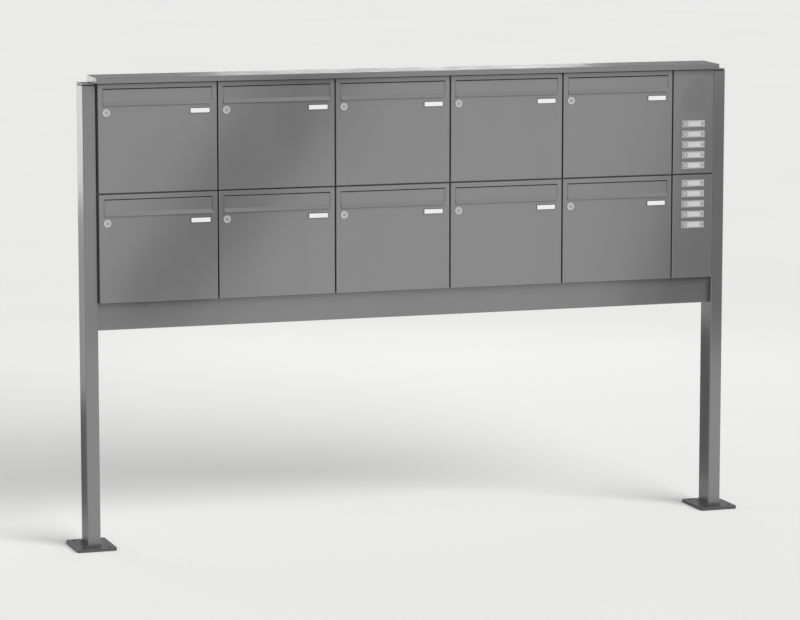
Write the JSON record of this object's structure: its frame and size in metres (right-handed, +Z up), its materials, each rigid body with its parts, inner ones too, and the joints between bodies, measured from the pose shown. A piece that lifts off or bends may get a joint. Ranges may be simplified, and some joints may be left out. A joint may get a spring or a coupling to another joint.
{
  "type": "cluster mailbox unit",
  "caption": "Free-standing letterbox bank on two posts: lockable front doors with letter flaps in two rows, a bell and speaker column at the right and a slim roof.",
  "frame": {"origin": "on the ground, midway between the posts and midway through their foot plates", "axes": "+X along the front to the right, +Y from the doors to the back, +Z up"},
  "size_m": [2.154, 0.16, 1.4259],
  "materials": {
    "frame_paint": "satin powder coat",
    "box_paint": "satin powder coat",
    "lock_metal": "satin chrome",
    "plate_metal": "fine horizontal brushing",
    "button_metal": "satin",
    "fixing_steel": "zinc plated",
    "black_plastic": "matt moulded",
    "card": "matt white card"
  },
  "bodies": {
    "frame": {"left_post": "frame_paint", "right_post": "frame_paint", "left_foot_plate": "frame_paint", "right_foot_plate": "frame_paint", "post_caps": "frame_paint", "cap_inserts": "black_plastic", "roof": "frame_paint", "apron_beam": "frame_paint", "assembly_bolts": "fixing_steel", "upper_box_bodies": "box_paint", "lower_box_bodies": "box_paint", "hinge_pins": "fixing_steel", "bell_housing": "box_paint", "upper_bell_panel": "box_paint", "lower_bell_panel": "box_paint", "bell_plates": "plate_metal", "bell_name_cards": "card", "bell_plate_screws": "fixing_steel", "bell_switches": "black_plastic", "speaker_unit": "black_plastic"},
    "door_upper_1": {"door_upper_1": "box_paint"},
    "flap_upper_1": {"flap_upper_1": "box_paint"},
    "lock_upper_1": {"lock_upper_1": "lock_metal"},
    "door_upper_2": {"door_upper_2": "box_paint"},
    "flap_upper_2": {"flap_upper_2": "box_paint"},
    "lock_upper_2": {"lock_upper_2": "lock_metal"},
    "door_upper_3": {"door_upper_3": "box_paint"},
    "flap_upper_3": {"flap_upper_3": "box_paint"},
    "lock_upper_3": {"lock_upper_3": "lock_metal"},
    "door_upper_4": {"door_upper_4": "box_paint"},
    "flap_upper_4": {"flap_upper_4": "box_paint"},
    "lock_upper_4": {"lock_upper_4": "lock_metal"},
    "door_upper_5": {"door_upper_5": "box_paint"},
    "flap_upper_5": {"flap_upper_5": "box_paint"},
    "lock_upper_5": {"lock_upper_5": "lock_metal"},
    "door_lower_1": {"door_lower_1": "box_paint"},
    "flap_lower_1": {"flap_lower_1": "box_paint"},
    "lock_lower_1": {"lock_lower_1": "lock_metal"},
    "door_lower_2": {"door_lower_2": "box_paint"},
    "flap_lower_2": {"flap_lower_2": "box_paint"},
    "lock_lower_2": {"lock_lower_2": "lock_metal"},
    "door_lower_3": {"door_lower_3": "box_paint"},
    "flap_lower_3": {"flap_lower_3": "box_paint"},
    "lock_lower_3": {"lock_lower_3": "lock_metal"},
    "door_lower_4": {"door_lower_4": "box_paint"},
    "flap_lower_4": {"flap_lower_4": "box_paint"},
    "lock_lower_4": {"lock_lower_4": "lock_metal"},
    "door_lower_5": {"door_lower_5": "box_paint"},
    "flap_lower_5": {"flap_lower_5": "box_paint"},
    "lock_lower_5": {"lock_lower_5": "lock_metal"},
    "bell_button_1": {"bell_button_1": "button_metal"},
    "bell_button_2": {"bell_button_2": "button_metal"},
    "bell_button_3": {"bell_button_3": "button_metal"},
    "bell_button_4": {"bell_button_4": "button_metal"},
    "bell_button_5": {"bell_button_5": "button_metal"},
    "bell_button_6": {"bell_button_6": "button_metal"},
    "bell_button_7": {"bell_button_7": "button_metal"},
    "bell_button_8": {"bell_button_8": "button_metal"},
    "bell_button_9": {"bell_button_9": "button_metal"},
    "bell_button_10": {"bell_button_10": "button_metal"}
  },
  "joints": [
    {"name": "door_upper_1_hinge", "type": "hinge", "parent": "frame", "child": "door_upper_1", "pos_m": [-0.632, -0.045, 1.241], "axis": [0, 0, 1], "range_deg": [0, 90]},
    {"name": "flap_upper_1_hinge", "type": "hinge", "parent": "door_upper_1", "child": "flap_upper_1", "pos_m": [-0.81, -0.0455, 1.385], "axis": [-1, 0, 0], "range_deg": [0, 75]},
    {"name": "lock_upper_1_turn", "type": "hinge", "parent": "door_upper_1", "child": "lock_upper_1", "pos_m": [-0.968, -0.04, 1.318], "axis": [0, 1, 0], "range_deg": [0, 90]},
    {"name": "door_upper_2_hinge", "type": "hinge", "parent": "frame", "child": "door_upper_2", "pos_m": [-0.262, -0.045, 1.241], "axis": [0, 0, 1], "range_deg": [0, 90]},
    {"name": "flap_upper_2_hinge", "type": "hinge", "parent": "door_upper_2", "child": "flap_upper_2", "pos_m": [-0.44, -0.0455, 1.385], "axis": [-1, 0, 0], "range_deg": [0, 75]},
    {"name": "lock_upper_2_turn", "type": "hinge", "parent": "door_upper_2", "child": "lock_upper_2", "pos_m": [-0.598, -0.04, 1.318], "axis": [0, 1, 0], "range_deg": [0, 90]},
    {"name": "door_upper_3_hinge", "type": "hinge", "parent": "frame", "child": "door_upper_3", "pos_m": [0.108, -0.045, 1.241], "axis": [0, 0, 1], "range_deg": [0, 90]},
    {"name": "flap_upper_3_hinge", "type": "hinge", "parent": "door_upper_3", "child": "flap_upper_3", "pos_m": [-0.07, -0.0455, 1.385], "axis": [-1, 0, 0], "range_deg": [0, 75]},
    {"name": "lock_upper_3_turn", "type": "hinge", "parent": "door_upper_3", "child": "lock_upper_3", "pos_m": [-0.228, -0.04, 1.318], "axis": [0, 1, 0], "range_deg": [0, 90]},
    {"name": "door_upper_4_hinge", "type": "hinge", "parent": "frame", "child": "door_upper_4", "pos_m": [0.478, -0.045, 1.241], "axis": [0, 0, 1], "range_deg": [0, 90]},
    {"name": "flap_upper_4_hinge", "type": "hinge", "parent": "door_upper_4", "child": "flap_upper_4", "pos_m": [0.3, -0.0455, 1.385], "axis": [-1, 0, 0], "range_deg": [0, 75]},
    {"name": "lock_upper_4_turn", "type": "hinge", "parent": "door_upper_4", "child": "lock_upper_4", "pos_m": [0.142, -0.04, 1.318], "axis": [0, 1, 0], "range_deg": [0, 90]},
    {"name": "door_upper_5_hinge", "type": "hinge", "parent": "frame", "child": "door_upper_5", "pos_m": [0.848, -0.045, 1.241], "axis": [0, 0, 1], "range_deg": [0, 90]},
    {"name": "flap_upper_5_hinge", "type": "hinge", "parent": "door_upper_5", "child": "flap_upper_5", "pos_m": [0.67, -0.0455, 1.385], "axis": [-1, 0, 0], "range_deg": [0, 75]},
    {"name": "lock_upper_5_turn", "type": "hinge", "parent": "door_upper_5", "child": "lock_upper_5", "pos_m": [0.512, -0.04, 1.318], "axis": [0, 1, 0], "range_deg": [0, 90]},
    {"name": "door_lower_1_hinge", "type": "hinge", "parent": "frame", "child": "door_lower_1", "pos_m": [-0.632, -0.045, 0.911], "axis": [0, 0, 1], "range_deg": [0, 90]},
    {"name": "flap_lower_1_hinge", "type": "hinge", "parent": "door_lower_1", "child": "flap_lower_1", "pos_m": [-0.81, -0.0455, 1.055], "axis": [-1, 0, 0], "range_deg": [0, 75]},
    {"name": "lock_lower_1_turn", "type": "hinge", "parent": "door_lower_1", "child": "lock_lower_1", "pos_m": [-0.968, -0.04, 0.988], "axis": [0, 1, 0], "range_deg": [0, 90]},
    {"name": "door_lower_2_hinge", "type": "hinge", "parent": "frame", "child": "door_lower_2", "pos_m": [-0.262, -0.045, 0.911], "axis": [0, 0, 1], "range_deg": [0, 90]},
    {"name": "flap_lower_2_hinge", "type": "hinge", "parent": "door_lower_2", "child": "flap_lower_2", "pos_m": [-0.44, -0.0455, 1.055], "axis": [-1, 0, 0], "range_deg": [0, 75]},
    {"name": "lock_lower_2_turn", "type": "hinge", "parent": "door_lower_2", "child": "lock_lower_2", "pos_m": [-0.598, -0.04, 0.988], "axis": [0, 1, 0], "range_deg": [0, 90]},
    {"name": "door_lower_3_hinge", "type": "hinge", "parent": "frame", "child": "door_lower_3", "pos_m": [0.108, -0.045, 0.911], "axis": [0, 0, 1], "range_deg": [0, 90]},
    {"name": "flap_lower_3_hinge", "type": "hinge", "parent": "door_lower_3", "child": "flap_lower_3", "pos_m": [-0.07, -0.0455, 1.055], "axis": [-1, 0, 0], "range_deg": [0, 75]},
    {"name": "lock_lower_3_turn", "type": "hinge", "parent": "door_lower_3", "child": "lock_lower_3", "pos_m": [-0.228, -0.04, 0.988], "axis": [0, 1, 0], "range_deg": [0, 90]},
    {"name": "door_lower_4_hinge", "type": "hinge", "parent": "frame", "child": "door_lower_4", "pos_m": [0.478, -0.045, 0.911], "axis": [0, 0, 1], "range_deg": [0, 90]},
    {"name": "flap_lower_4_hinge", "type": "hinge", "parent": "door_lower_4", "child": "flap_lower_4", "pos_m": [0.3, -0.0455, 1.055], "axis": [-1, 0, 0], "range_deg": [0, 75]},
    {"name": "lock_lower_4_turn", "type": "hinge", "parent": "door_lower_4", "child": "lock_lower_4", "pos_m": [0.142, -0.04, 0.988], "axis": [0, 1, 0], "range_deg": [0, 90]},
    {"name": "door_lower_5_hinge", "type": "hinge", "parent": "frame", "child": "door_lower_5", "pos_m": [0.848, -0.045, 0.911], "axis": [0, 0, 1], "range_deg": [0, 90]},
    {"name": "flap_lower_5_hinge", "type": "hinge", "parent": "door_lower_5", "child": "flap_lower_5", "pos_m": [0.67, -0.0455, 1.055], "axis": [-1, 0, 0], "range_deg": [0, 75]},
    {"name": "lock_lower_5_turn", "type": "hinge", "parent": "door_lower_5", "child": "lock_lower_5", "pos_m": [0.512, -0.04, 0.988], "axis": [0, 1, 0], "range_deg": [0, 90]},
    {"name": "bell_button_1_push", "type": "slide", "parent": "frame", "child": "bell_button_1", "axis": [0, 1, 0], "range_m": [0, 0.0015], "stiffness_N_per_m": 400, "springref_m": -0.002},
    {"name": "bell_button_2_push", "type": "slide", "parent": "frame", "child": "bell_button_2", "axis": [0, 1, 0], "range_m": [0, 0.0015], "stiffness_N_per_m": 400, "springref_m": -0.002},
    {"name": "bell_button_3_push", "type": "slide", "parent": "frame", "child": "bell_button_3", "axis": [0, 1, 0], "range_m": [0, 0.0015], "stiffness_N_per_m": 400, "springref_m": -0.002},
    {"name": "bell_button_4_push", "type": "slide", "parent": "frame", "child": "bell_button_4", "axis": [0, 1, 0], "range_m": [0, 0.0015], "stiffness_N_per_m": 400, "springref_m": -0.002},
    {"name": "bell_button_5_push", "type": "slide", "parent": "frame", "child": "bell_button_5", "axis": [0, 1, 0], "range_m": [0, 0.0015], "stiffness_N_per_m": 400, "springref_m": -0.002},
    {"name": "bell_button_6_push", "type": "slide", "parent": "frame", "child": "bell_button_6", "axis": [0, 1, 0], "range_m": [0, 0.0015], "stiffness_N_per_m": 400, "springref_m": -0.002},
    {"name": "bell_button_7_push", "type": "slide", "parent": "frame", "child": "bell_button_7", "axis": [0, 1, 0], "range_m": [0, 0.0015], "stiffness_N_per_m": 400, "springref_m": -0.002},
    {"name": "bell_button_8_push", "type": "slide", "parent": "frame", "child": "bell_button_8", "axis": [0, 1, 0], "range_m": [0, 0.0015], "stiffness_N_per_m": 400, "springref_m": -0.002},
    {"name": "bell_button_9_push", "type": "slide", "parent": "frame", "child": "bell_button_9", "axis": [0, 1, 0], "range_m": [0, 0.0015], "stiffness_N_per_m": 400, "springref_m": -0.002},
    {"name": "bell_button_10_push", "type": "slide", "parent": "frame", "child": "bell_button_10", "axis": [0, 1, 0], "range_m": [0, 0.0015], "stiffness_N_per_m": 400, "springref_m": -0.002}
  ]
}
